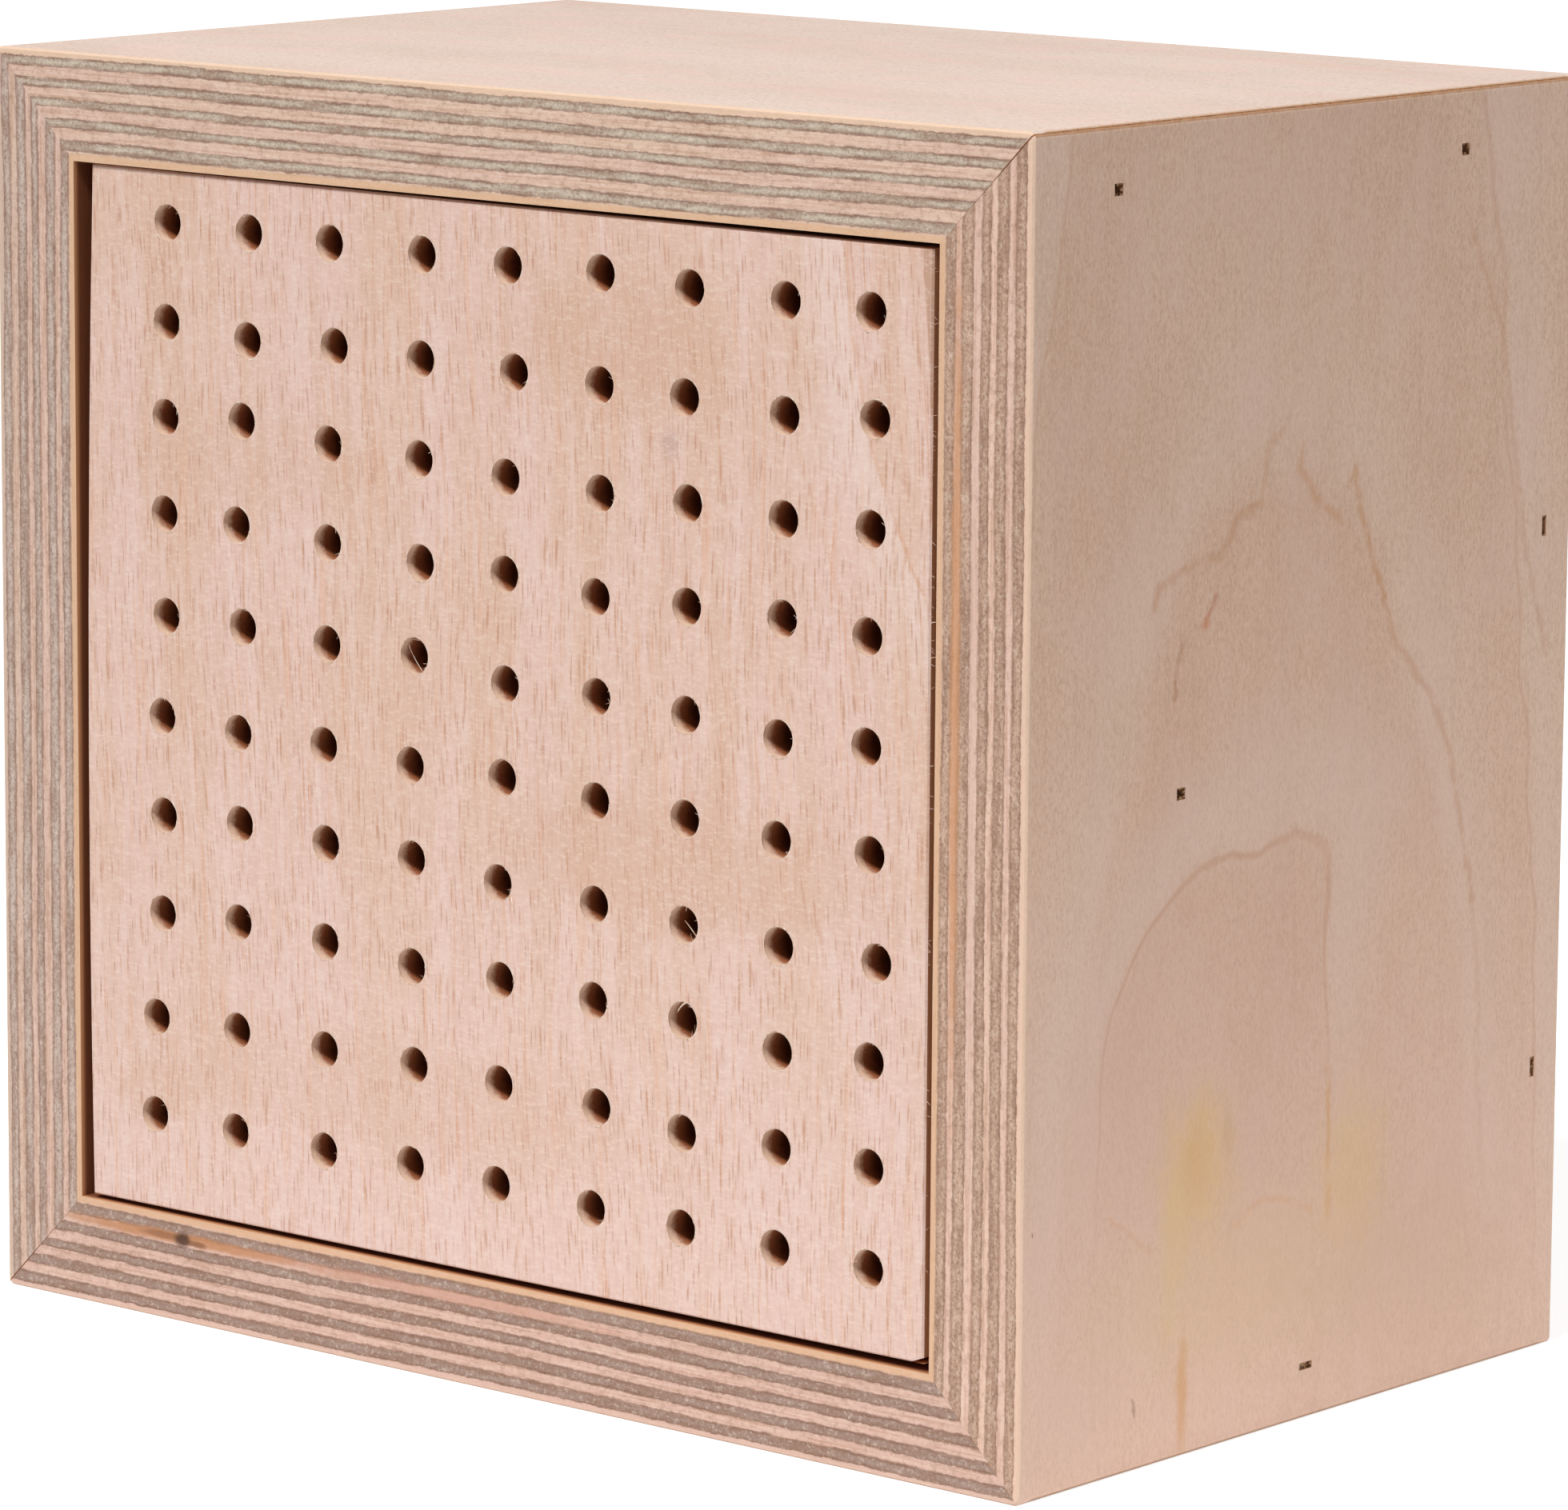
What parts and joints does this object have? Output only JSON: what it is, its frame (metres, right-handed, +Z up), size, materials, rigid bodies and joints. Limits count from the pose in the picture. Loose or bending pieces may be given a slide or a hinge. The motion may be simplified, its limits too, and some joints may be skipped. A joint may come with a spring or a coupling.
{
  "type": "bee hotel",
  "caption": "Open-fronted mitred plywood box that holds a solid beech block drilled with rows of small blind nest holes for solitary bees.",
  "frame": {"origin": "middle of the base, on the surface that the box stands on", "axes": "+Z up, -Y out of the drilled front, +X towards the right-hand side as seen from the front"},
  "size_m": [0.184, 0.118, 0.176],
  "materials": {
    "birch_plywood": "raw sanded birch plywood",
    "beech": "raw sawn beech",
    "brad_steel": "dull steel"
  },
  "bodies": {
    "root": {"top_panel": "birch_plywood", "bottom_panel": "birch_plywood", "left_panel": "birch_plywood", "right_panel": "birch_plywood", "back_panel": "birch_plywood", "nest_block": "beech", "upper_corner_brads": "brad_steel", "lower_corner_brads": "brad_steel", "block_brads": "brad_steel", "back_brads": "brad_steel"}
  },
  "joints": []
}
